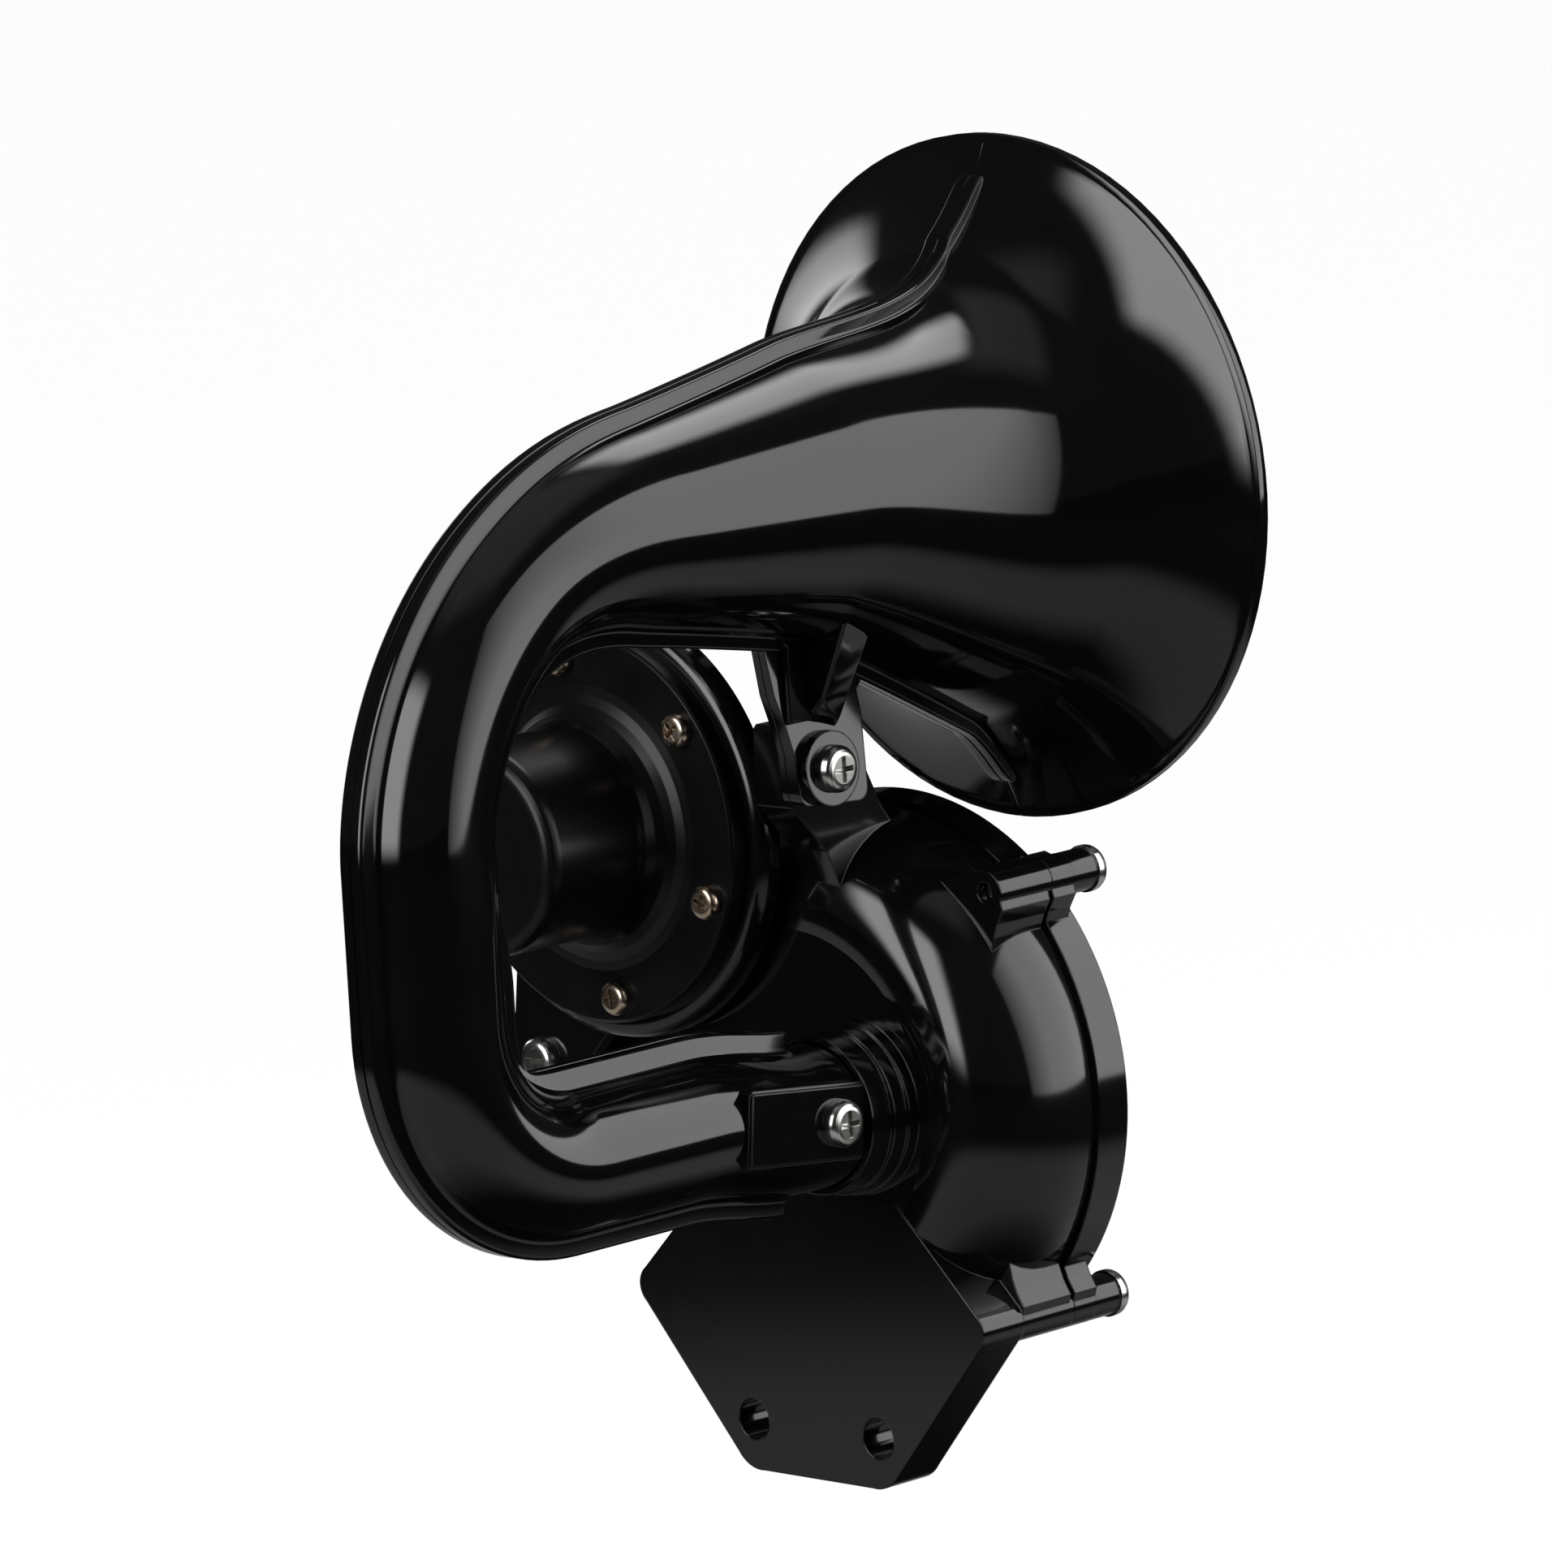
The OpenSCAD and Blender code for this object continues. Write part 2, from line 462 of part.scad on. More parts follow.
// Permanent-magnet motor inside the hub
module motor_can() color("silver") on_pump() difference() {
    union() {
        rod(can_r, can_back, plate_rear);
        rod(4.4, can_back - 2, can_back + 1);
    }
    rod(can_r - 1, can_back + 1, plate_rear + 1);
    rod(3, can_back - 3, can_back + 3);
    rotate([0, 0, terminal_angle]) translate([11, -6, -17]) cube([6, 12, 10]);
}
module motor_magnets() color([0.2, 0.2, 0.2]) on_pump() for (a = [25, 205])
    arc(11.8, can_r - 1.05, a, a + 130, -30, -16.8);
module brush_carrier() color("ivory") on_pump() difference() {
    union() {
        rod(can_r - 1.1, -10.9, plate_rear);
        for (a = [90, 270]) rotate([0, 0, a]) translate([4.6, -2.6, -14.6]) cube([8.2, 5.2, 4]);
    }
    rod(5.1, -12, 0);
    for (a = [90, 270]) rotate([0, 0, a]) translate([3, -1.6, -14]) cube([12, 3.2, 2.6]);
    rotate([0, 0, terminal_angle]) for (y = [-4.5, 4.5]) translate([10.9, y - 0.45, -16.4]) cube([5, 0.9, 9]);
    for (x = [-8, 8]) translate([x, 0, 0]) rod(1.05, -12, 0);
}
module motor_brushes() color([0.15, 0.15, 0.15]) on_pump() for (a = [90, 270]) rotate([0, 0, a])
    difference() {
        translate([3.2, -1.5, -13.9]) cube([6.6, 3, 2.4]);
        rod(3.7, -20, 0);
    }
module front_bush() color("peru") on_pump() tube(2.98, shaft_r + 0.05, plate_rear - 1.7, plate_front - 0.1);
module rear_bush() color("peru") on_pump() tube(2.98, shaft_r + 0.05, can_back - 1.9, can_back + 1.4);
module motor_shaft() color("silver") on_pump() rotate_extrude($fn = 48)
    polygon([[0, shaft_ends[0]], [shaft_r - 0.3, shaft_ends[0]], [shaft_r, shaft_ends[0] + 0.3],
        [shaft_r, shaft_ends[1] - 0.3], [shaft_r - 0.3, shaft_ends[1]], [0, shaft_ends[1]]]);
// Side of a winding slot: s along the slot's edge from the axis, in a frame whose x axis runs up the slot
function slot_side(s, side) = let (a = 180 / poles)
    [s * cos(a) + tooth / 2 * sin(a), side * (s * sin(a) - tooth / 2 * cos(a))];
module armature_core() color("slategray") on_pump() difference() {
    rod(core_r, core_ends[0], core_ends[1]);
    rod(shaft_r + 0.02, -40, 0);
    for (i = [1:poles]) rotate([0, 0, (i + 0.5) * 360 / poles]) translate([0, 0, core_ends[0] - 1])
        linear_extrude(core_ends[1] - core_ends[0] + 2) polygon([slot_side(4, -1), slot_side(9, -1), [9, -2.6],
            [9.3, -0.8], [13, -0.8], [13, 0.8], [9.3, 0.8], [9, 2.6], slot_side(9, 1), slot_side(4, 1)]);
}
module armature_windings() color("chocolate") on_pump() {
    for (i = [1:poles]) rotate([0, 0, i * 360 / poles]) difference() {
        translate([4.6, -2.9, core_ends[0] - 1.6]) cube([4, 5.8, core_ends[1] - core_ends[0] + 3.2]);
        translate([3, -tooth / 2 - 0.05, core_ends[0] - 0.05])
            cube([8, tooth + 0.1, core_ends[1] - core_ends[0] + 0.1]);
    }
    tube(6.4, 4.7, core_ends[1] + 0.4, core_ends[1] + 1.6);
}
module commutator() color("peru") on_pump() difference() {
    union() {
        rod(3.5, -15.6, -11);
        rod(4.4, -15.9, -15);
    }
    rod(shaft_r + 0.02, -17, 0);
    for (i = [1:poles]) rotate([0, 0, (i + 0.5) * 360 / poles]) translate([2.6, -0.2, -17]) cube([3, 0.4, 8]);
}

head_body();
head_cover();
cover_gasket();
diaphragm();
diaphragm_boss();
clamp_screws();
trumpet_right_half();
trumpet_left_half();
socket_screw();
socket_o_ring();
stay_screw();
stay_nut();
pump_base();
base_screws();
air_port_o_ring();
pump_seal();
cam_ring();
port_plate();
pump_rotor();
pump_vanes();
motor_cover();
cover_screws();
motor_screws();
motor_can();
motor_magnets();
brush_carrier();
motor_brushes();
front_bush();
rear_bush();
motor_shaft();
armature_core();
armature_windings();
commutator();
terminal_block();
terminals();
intake_filter();
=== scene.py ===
import bpy
import bmesh
import math
from mathutils import Matrix, Vector


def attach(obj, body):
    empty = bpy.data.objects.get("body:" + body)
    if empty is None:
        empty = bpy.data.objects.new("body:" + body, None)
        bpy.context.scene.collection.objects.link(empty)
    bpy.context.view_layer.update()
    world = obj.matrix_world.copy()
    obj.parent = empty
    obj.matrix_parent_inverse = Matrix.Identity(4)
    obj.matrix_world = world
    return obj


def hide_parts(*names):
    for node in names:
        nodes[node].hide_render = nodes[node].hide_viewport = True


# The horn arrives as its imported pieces, in metres. The bell faces -Y, +Z is up, and the origin lies
# midway between the two mounting holes, on the plate's back face.
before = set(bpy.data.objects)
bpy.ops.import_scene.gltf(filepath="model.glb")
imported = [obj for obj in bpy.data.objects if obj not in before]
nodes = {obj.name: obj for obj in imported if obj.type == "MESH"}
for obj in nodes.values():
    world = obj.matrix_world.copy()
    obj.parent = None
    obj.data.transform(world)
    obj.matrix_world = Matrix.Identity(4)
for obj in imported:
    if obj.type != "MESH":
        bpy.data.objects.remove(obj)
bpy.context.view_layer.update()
scene = bpy.context.scene
scene.view_settings.view_transform = "Standard"
mm = 0.001

# The photographer stood behind the horn and a little to its right, with a long lens.
# The camera is placed by how far right of it, below it and ahead of it the head's centre lies.
head_height = 57
head_centre = Vector((0, 0, head_height)) * mm
camera_turn = math.radians(44.52)
camera_drop = math.radians(9.59)
camera_roll = math.radians(-3.27)
head_in_view = Vector((3.54, 52.54, 1852.22)) * mm
forward = Vector((math.sin(camera_turn) * math.cos(camera_drop),
                  -math.cos(camera_turn) * math.cos(camera_drop), -math.sin(camera_drop)))
level = Vector((-math.cos(camera_turn), -math.sin(camera_turn), 0))
upright = level.cross(forward)
right = level * math.cos(camera_roll) + upright * math.sin(camera_roll)
above = upright * math.cos(camera_roll) - level * math.sin(camera_roll)
camera = bpy.data.objects.new("camera", bpy.data.cameras.new("camera"))
scene.collection.objects.link(camera)
scene.camera = camera
camera_place = (head_centre - right * head_in_view.x + above * head_in_view.y
                - forward * head_in_view.z)
camera_facing = Matrix((right, above, -forward)).transposed().to_4x4()
camera.matrix_world = Matrix.Translation(camera_place) @ camera_facing
camera.data.sensor_fit = "VERTICAL"
camera.data.sensor_height = 36
camera.data.lens = 253.7
camera.data.clip_end = 50


# Moulded plastic: the head's bowl and cover and the pump's base are glass-filled nylon, moulded in
# polished tools. It is black all through, with a crisp gloss, faint flow marks and the slight
# waviness of a moulding.
def srgb(text):
    parts = [int(text[i:i + 2], 16) / 255 for i in (1, 3, 5)]
    return [c / 12.92 if c <= 0.04045 else ((c + 0.055) / 1.055) ** 2.4 for c in parts] + [1]


def add(tree, kind, links=(), **values):
    node = tree.nodes.new("ShaderNode" + kind)
    for name, value in values.items():
        socket = node.inputs.get(name.replace("_", " "))
        if socket is None:
            setattr(node, name, value)
        else:
            socket.default_value = value
    for name, source in dict(links).items():
        tree.links.new(source, node.inputs[name])
    return node


# Lengths are in millimetres. Patches of patch_size mix the two colours and vary the roughness, wave
# is how deep the long waves are, grain how deep the fine ones are, and edge rounds the corners seen.
def finish(name, colour, patch, roughness, metal=0.0, patch_size=9.0, wave=0.0, grain=0.0,
           grain_size=0.35, edge=0.0, specular=0.5, form=None):
    wave_size = 16.0
    smoothest, roughest = 0.8, 1.25
    material = bpy.data.materials.new(name)
    material.use_nodes = True
    tree = material.node_tree
    shader = tree.nodes["Principled BSDF"]
    shader.inputs["Metallic"].default_value = metal
    shader.inputs["Specular IOR Level"].default_value = specular
    point = add(tree, "TexCoord").outputs["Object"]
    patches = add(tree, "TexNoise", {"Vector": point}, Scale=1 / (patch_size * mm),
                  Detail=3.0).outputs["Fac"]
    tint = add(tree, "MixRGB", {"Fac": patches}, Color1=srgb(colour), Color2=srgb(patch))
    tree.links.new(tint.outputs["Color"], shader.inputs["Base Color"])
    wear = add(tree, "MapRange", {"Value": patches}, To_Min=roughness * smoothest,
               To_Max=roughness * roughest)
    tree.links.new(wear.outputs["Result"], shader.inputs["Roughness"])
    normal = None
    if edge:
        normal = add(tree, "Bevel", samples=6, Radius=edge * mm).outputs["Normal"]
    if form:
        normal = form(tree, point, normal)
    for size, height in ((wave_size, wave), (grain_size, grain)):
        if height:
            noise = add(tree, "TexNoise", {"Vector": point}, Scale=1 / (size * mm), Detail=1.0)
            bump = add(tree, "Bump", {"Height": noise.outputs["Fac"]}, Strength=1.0,
                       Distance=height * mm)
            if normal:
                tree.links.new(normal, bump.inputs["Normal"])
            normal = bump.outputs["Normal"]
    if normal:
        tree.links.new(normal, shader.inputs["Normal"])
    return material


def dress(material, *names):
    for name in names:
        nodes[name].data.materials.clear()
        nodes[name].data.materials.append(material)


# The bowl's shoulder is a true quarter ellipse, where its solid has rings. Its normal is worked out
# from the ellipse, for the points that lie on it, face nearly that way and aren't the plate's.
def shoulder_normal(tree, point, plain):
    flat_radius, rim_radius = 32, 47.3
    back_depth, front_depth = 0.3, 18
    curve_slack, least_match, plate_guard = 0.05, 0.97, 1.008
    to_axis = add(tree, "VectorMath", {"Vector": point}, operation="SUBTRACT")
    to_axis.inputs[1].default_value = head_centre
    split = add(tree, "SeparateXYZ", {"Vector": to_axis.outputs["Vector"]})
    flatten = add(tree, "VectorMath", {"Vector": to_axis.outputs["Vector"]}, operation="MULTIPLY")
    flatten.inputs[1].default_value = (1, 0, 1)
    radius = add(tree, "VectorMath", {"Vector": flatten.outputs["Vector"]}, operation="LENGTH")
    outward = add(tree, "VectorMath", {"Vector": flatten.outputs["Vector"]}, operation="NORMALIZE")
    across = add(tree, "MapRange", {"Value": radius.outputs["Value"]}, clamp=False,
                 From_Min=flat_radius * mm, From_Max=rim_radius * mm)
    along = add(tree, "MapRange", {"Value": split.outputs["Y"]}, clamp=False,
                From_Min=-front_depth * mm, From_Max=-back_depth * mm)
    squares = [add(tree, "Math", {0: part.outputs["Result"], 1: part.outputs["Result"]},
                   operation="MULTIPLY").outputs["Value"] for part in (across, along)]
    total = add(tree, "Math", {0: squares[0], 1: squares[1]}, operation="ADD")
    on_curve = add(tree, "Math", {0: total.outputs["Value"]}, operation="COMPARE")
    on_curve.inputs[1].default_value = 1
    on_curve.inputs[2].default_value = curve_slack
    outer = add(tree, "VectorMath", {"Vector": outward.outputs["Vector"]}, operation="SCALE")
    tilt_out = add(tree, "Math", {0: across.outputs["Result"]}, operation="DIVIDE")
    tilt_out.inputs[1].default_value = rim_radius - flat_radius
    tree.links.new(tilt_out.outputs["Value"], outer.inputs["Scale"])
    tilt_back = add(tree, "Math", {0: along.outputs["Result"]}, operation="DIVIDE")
    tilt_back.inputs[1].default_value = front_depth - back_depth
    rear = add(tree, "CombineXYZ", {"Y": tilt_back.outputs["Value"]})
    both = add(tree, "VectorMath", {0: outer.outputs["Vector"], 1: rear.outputs["Vector"]},
               operation="ADD")
    curved = add(tree, "VectorMath", {"Vector": both.outputs["Vector"]}, operation="NORMALIZE")
    own_normal = add(tree, "NewGeometry").outputs["Normal"]
    match = add(tree, "VectorMath", {0: curved.outputs["Vector"], 1: own_normal},
                operation="DOT_PRODUCT")
    alike = add(tree, "Math", {0: match.outputs["Value"]}, operation="GREATER_THAN")
    alike.inputs[1].default_value = least_match
    off_plate = add(tree, "Math", {0: along.outputs["Result"]}, operation="LESS_THAN")
    off_plate.inputs[1].default_value = plate_guard
    fits = add(tree, "Math", {0: on_curve.outputs["Value"], 1: alike.outputs["Value"]},
               operation="MULTIPLY")
    use = add(tree, "Math", {0: fits.outputs["Value"], 1: off_plate.outputs["Value"]},
              operation="MULTIPLY")
    chosen = add(tree, "MixRGB", {"Fac": use.outputs["Value"], "Color1": plain,
                                  "Color2": curved.outputs["Vector"]})
    return chosen.outputs["Color"]


nylon, flow_marks = "#09090A", "#0D0D0E"
polished = finish("polished_black", nylon, flow_marks, roughness=0.09, wave=0.012, edge=0.45)
dress(polished, "head_cover", "pump_base")
polished_bowl = finish("polished_bowl", nylon, flow_marks, roughness=0.09, wave=0.012, edge=0.45,
                       form=shoulder_normal)
dress(polished_bowl, "head_body")

# Trumpet: two half shells moulded in ABS, each with a rib along its edge, welded rib to rib.
# The tube runs level out of the socket, bends up behind the pump and comes forward into the bell.
# On the inside of the C the rib makes a tight corner and almost runs out at the top of the upright.
abs_black, abs_marks = "#070708", "#0B0B0C"
polished_trumpet = finish("polished_trumpet", abs_black, abs_marks, roughness=0.07, wave=0.01)
horn_side = 12.7  # the trumpet's middle plane, to the right of the head's axis
tube_end = 6.2  # the tube's end in the socket, behind the plate's back face
tube_radius = 12.2
wall = 2.2
low_height = 3.1  # how far the low tube climbs on its way to the bend
bend_start = 68
reach = 95.6  # the middle of the upright, behind the plate's back face
bend_radius = reach - bend_start
upright_top = 57.5  # this and the neck's level are measured up from the head's axis
neck_level = 103.9
neck_start = 46.2
mouth = 46.8  # the bell's rim, ahead of the plate's back face
bell_radius = 58
lip_start = 44.4
lip_step = 1.4
rib_height = 3.4
rib_foot = 3.5  # half the rib's width with its fillet
faint_rib = 0.5


def ease(t):
    t = min(max(t, 0), 1)
    return t * t * (3 - 2 * t)


# The neck is a slim cone that opens into the bell, and turns up a little more just before the lip.
def flare(back):
    throat, taper = 24.3, 0.165
    cone_mouth, bell_fade = 32, 15
    lip_rise, lip_fade = 2.8, 5
    bell = (bell_radius - cone_mouth) * math.exp(-(back + mouth) / bell_fade)
    return throat - taper * back + bell + lip_rise * math.exp(-(back + lip_start) / lip_fade)


def tube_to_bell(back):
    blend = 0.6
    return tube_radius + blend * math.log(1 + math.exp((flare(back) - tube_radius) / blend))


def neck_height(back):
    sag, sag_start, sag_length = 4.2, 10, 42
    return neck_level - sag * ease((sag_start - back) / sag_length)


# The outer rib sinks a little along the neck, and ends in a quarter round on the bell.
def rib_profile(back):
    stop, end_round = 41.5, 3.8
    drop, drop_start, drop_length = 0.7, 80, 45
    t = min(max(1 - (back + stop) / end_round, 0), 1)
    return (rib_height - drop * ease((drop_start - back) / drop_length)) * math.sqrt(1 - t * t)


def inner_corner(a):
    reach_in, reach_up, squareness = 12.0, 10.7, 5
    reach_sum = (math.cos(a) / reach_in) ** squareness + (math.sin(a) / reach_up) ** squareness
    return bend_radius - tube_radius - reach_sum ** (-1 / squareness)


def inner_upright(up):
    fade_start, fade_length = 34, 26
    corner_end = inner_corner(math.pi / 2)
    return corner_end + (faint_rib - corner_end) * ease((up - fade_start) / fade_length)


def steps(start, end, size):
    count = max(1, round(abs(end - start) / size))
    return [start + (end - start) * i / count for i in range(count)]


def stops(*spans):
    return [stop for span in spans for stop in steps(*span)]


def bezier(poles, t):
    weights = ((1 - t) ** 3, 3 * t * (1 - t) ** 2, 3 * t * t * (1 - t), t ** 3)
    return [sum(w * p[k] for w, p in zip(weights, poles)) for k in (0, 1)]


# A station is how far back and how high the tube's middle lies, its radius, and its outer and inner
# rib. Stations are close together where the rib starts and where it ends. The last ones are the lip.
def trumpet_stations():
    rib_start, rib_rise = 17.2, 1.8
    climb_start, climb_length = 14, 28
    upright_pull, neck_pull = 13.5, 37.7
    line = []
    for back in stops((tube_end, 17, 1.2), (17, 20, 0.3), (20, bend_start, 1.2)):
        rib = rib_height * ease((back - rib_start) / rib_rise)
        up = low_height * ease((back - climb_start) / climb_length)
        line.append((back, up, tube_radius, rib, rib))
    for turn in steps(0, 90, 3):
        a = math.radians(turn)
        back = bend_start + bend_radius * math.sin(a)
        up = low_height + bend_radius * (1 - math.cos(a))
        line.append((back, up, tube_radius, rib_height, inner_corner(a)))
    for up in steps(low_height + bend_radius, upright_top, 2):
        line.append((reach, up, tube_radius, rib_height, inner_upright(up)))
    poles = ((reach, upright_top), (reach, upright_top + upright_pull),
             (neck_start + neck_pull, neck_level), (neck_start, neck_level))
    for t in steps(0, 1, 1 / 40):
        back, up = bezier(poles, t)
        rib = rib_profile(back)
        inner_rib = inner_upright(up) + (rib - faint_rib) * ease(t)
        line.append((back, up, tube_to_bell(back), rib, inner_rib))
    for back in stops((neck_start, -20, 1.5), (-20, -33, 0.8), (-33, -38.6, 0.25),
                      (-38.6, -lip_start, 0.4)):
        line.append((back, neck_height(back), flare(back), rib_profile(back), rib_profile(back)))
    step = bell_radius - lip_step
    lip = ((lip_start, step), (lip_start + 0.02, step + 0.1), (lip_start + 0.05, step + 1.2),
           (lip_start + 0.2, bell_radius), (mouth - 0.6, bell_radius),
           (mouth - 0.2, bell_radius - 0.15), (mouth, bell_radius - 0.5))
    for ahead, radius in lip:
        line.append((-ahead, neck_height(-lip_start), radius, 0, 0))
    return line, len(line) - len(lip)


# Half of the rib in section, from the weld outwards: a flat top, a round corner and a small fillet.
# Each point has its distance from the weld and its share of the rib's height.
def rib_side(radius, rib):
    shape = ((0, 0.92), (0.25, 1), (1.2, 1), (1.9, 1), (2.3, 0.97), (2.5, 0.9), (2.6, 0.78),
             (2.6, 0.3), (2.7, 0.14), (3, 0.04), (rib_foot, 0))
    weld_depth = 0.12
    side = []
    for x, share in shape:
        round_off = radius - math.sqrt(radius * radius - x * x)
        flatness = share * min(1, rib / faint_rib)
        sunk = weld_depth if x == 0 else 0
        side.append((x, radius - round_off * (1 - flatness) + rib * share - sunk))
    return side


def wall_section(radius, inner, rib, inner_rib):
    outer_steps, bore_steps = 44, 24
    start = math.asin(rib_foot / radius)
    arc = [start + (math.pi - 2 * start) * i / outer_steps for i in range(1, outer_steps)]
    bore = [math.pi * i / bore_steps for i in range(bore_steps, -1, -1)]
    return (rib_side(radius, rib) + [(radius * math.sin(a), radius * math.cos(a)) for a in arc]
            + [(x, -y) for x, y in reversed(rib_side(radius, inner_rib))]
            + [(inner * math.sin(a), inner * math.cos(a)) for a in bore])


# A grid is bent round every station's section. Its long seam and both ends are then closed.
def shell_half(name, side):
    level_start, level_end = 3, 12
    lip_opening = 0.15
    line, rim = trumpet_stations()
    ring = len(wall_section(bell_radius, bell_radius - wall, rib_height, rib_height))
    half = bmesh.new()
    bmesh.ops.create_grid(half, x_segments=ring - 1, y_segments=len(line) - 1, size=1)
    half.verts.ensure_lookup_table()
    for i, (back, up, radius, rib, inner_rib) in enumerate(line):
        before = line[max(i - 1, 0)]
        after = line[min(i + 1, len(line) - 1)]
        heading = math.atan2(after[1] - before[1], after[0] - before[0])
        if i < level_start:
            heading = 0
        if i > rim - level_end:
            heading = math.pi
        inner = radius - wall
        if i >= rim:
            inner = bell_radius - lip_step - wall + lip_opening * (i - rim)
        for j, (x, out) in enumerate(wall_section(radius, inner, rib, inner_rib)):
            spot = (-horn_side - side * x, back + out * math.sin(heading),
                    head_height + up - out * math.cos(heading))
            half.verts[i * ring + j].co = Vector(spot) * mm
    pairs = [[half.verts[i * ring + ring - 1], half.verts[i * ring]] for i in range(len(line))]
    for a, b in zip(pairs, pairs[1:]):
        half.faces.new((a[0], a[1], b[1], b[0]))
    for row in (0, len(line) - 1):
        half.faces.new([half.verts[row * ring + j] for j in range(ring)])
    return to_mesh(half, name)


def to_mesh(shape, name):
    bmesh.ops.recalc_face_normals(shape, faces=shape.faces)
    mesh = bpy.data.meshes.new(name)
    shape.to_mesh(mesh)
    shape.free()
    return mesh


def place(name, mesh, material, smooth=38, stands_for=()):
    mesh.shade_smooth()
    mesh.set_sharp_from_angle(angle=math.radians(smooth))
    piece = bpy.data.objects.new(name, mesh)
    scene.collection.objects.link(piece)
    mesh.materials.clear()
    mesh.materials.append(material)
    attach(piece, "housing")
    if stands_for:
        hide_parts(*stands_for)


for name, side, node in (("trumpet_right_shell", 1, "trumpet_right_half"),
                         ("trumpet_left_shell", -1, "trumpet_left_half")):
    place(name, shell_half(name, side), polished_trumpet, stands_for=[node])
dress(polished_trumpet, "trumpet_right_half", "trumpet_left_half")

# Stay: a plate moulded with each half hangs from the neck. The right one carries a boss for the screw
# and a thick gusset with its root, and leans a little, so that it catches the light.
# The screw clamps both plates to the arm on the bowl.
polished_stay = finish("polished_stay", abs_black, abs_marks, roughness=0.08, wave=0.008, edge=0.4)
stay_hole = (4.4, 58)
screw_clear = 2.2
boss_radius = 6.3
right_face, left_face, boss_face = 2.6, -1.5, 4.3
boss_root = 1.5
lean_slope = 0.055
buried = 1
stay_back, stay_step = 16.9, 3.3


def ring_points(centre, radius, start=0, end=360, count=48):
    closed = end - start == 360
    turns = [math.radians(start + (end - start) * i / count) for i in range(count + (not closed))]
    return [(centre[0] + radius * math.cos(a), centre[1] + radius * math.sin(a)) for a in turns]


def on_middle(x, back, up):
    return Vector((-horn_side - x, back, head_height + up)) * mm


def slab(name, outline, near, far, lean=0.0):
    shape = bmesh.new()
    edges = []
    for loop in (outline, ring_points(stay_hole, screw_clear, count=32)):
        corners = [shape.verts.new(on_middle(near, *p)) for p in loop]
        edges += [shape.edges.new(pair) for pair in zip(corners, corners[1:] + corners[:1])]
    bmesh.ops.triangle_fill(shape, edges=edges, use_beauty=True)
    grown = bmesh.ops.extrude_face_region(shape, geom=shape.faces[:])
    moved = [v for v in grown["geom"] if isinstance(v, bmesh.types.BMVert)]
    bmesh.ops.translate(shape, verts=moved, vec=Vector((near - far, 0, 0)) * mm)
    for v in moved:
        v.co.x += lean * (v.co.z - (head_height + stay_hole[1]) * mm)
    place(name, to_mesh(shape, name), polished_stay, smooth=25)


neck_places = [stay_back - stay_step * i for i in range(9)]
under_neck = [(back, neck_height(back) - flare(back) + buried) for back in neck_places]
front_foot = ring_points((-2.9, 53.5), 2.2, 180, 270, 6)
back_foot = ring_points((8.6, 54.6), 2.4, 270, 360, 6)
stay_outline = (under_neck + [(-4.6, 69.8), (-5.2, 66)] + front_foot + back_foot
                + [(11.4, 61), (13, 66.6), (14.8, 71.4)])
slab("stay_right", stay_outline, 0, right_face, lean=lean_slope)
slab("stay_left", stay_outline, 0, left_face)
slab("stay_boss", ring_points(stay_hole, boss_radius), boss_root, boss_face, lean=lean_slope)

# Each block has a back end and a front end: how far back it lies, then its corners, each as a
# distance out from the middle plane and a height.
gusset = ((8, (1, 65.5), (6.3, 70), (14.2, 87.2), (1, 81.5)),
          (1, (1, 63), (3.2, 65.5), (13.4, 84.4), (1, 79.5)))
gusset_root = ((12.8, (1, 66), (3.1, 66.6), (3.1, 80.2), (1, 80.2)),
               (7, (1, 66), (3.1, 66.6), (3.1, 79.6), (1, 79.6)))
for name, ends in (("stay_fin", gusset), ("stay_web", gusset_root)):
    block = bmesh.new()
    corners = [block.verts.new(on_middle(x, back, up)) for back, *loop in ends for x, up in loop]
    block.faces.new(corners[:4])
    block.faces.new(corners[4:])
    for i in range(4):
        after = (i + 1) % 4
        block.faces.new((corners[i], corners[after], corners[after + 4], corners[i + 4]))
    bmesh.ops.bevel(block, geom=block.edges[:], offset=0.35 * mm, segments=2, affect="EDGES")
    place(name, to_mesh(block, name), polished_stay, smooth=40)

# Locking pad: a flat raised panel on the side of the tube, where a screw pins the tube in its socket.
# Its face is level with the screw's seat and its edges are just broken.
pad_face = 13.2
pad_root = 7
pad_length = 27.2
pad_width = 13
pad_shift = 7.2
lock = (16.8, 1.3)
tilt = Matrix.Rotation(math.radians(6.4), 4, "X")
pad = bmesh.new()
bmesh.ops.create_cube(pad, size=1)
bmesh.ops.scale(pad, verts=pad.verts, vec=Vector((pad_face - pad_root, pad_length, pad_width)) * mm)
bmesh.ops.translate(pad, verts=pad.verts, vec=Vector((-(pad_face + pad_root) / 2, pad_shift, 0)) * mm)
bmesh.ops.bevel(pad, geom=pad.edges[:], offset=0.5 * mm, segments=3, affect="EDGES")
bmesh.ops.transform(pad, matrix=Matrix.Translation(on_middle(0, *lock)) @ tilt, verts=pad.verts)
place("locking_pad", to_mesh(pad, "locking_pad"), polished_stay, smooth=30)

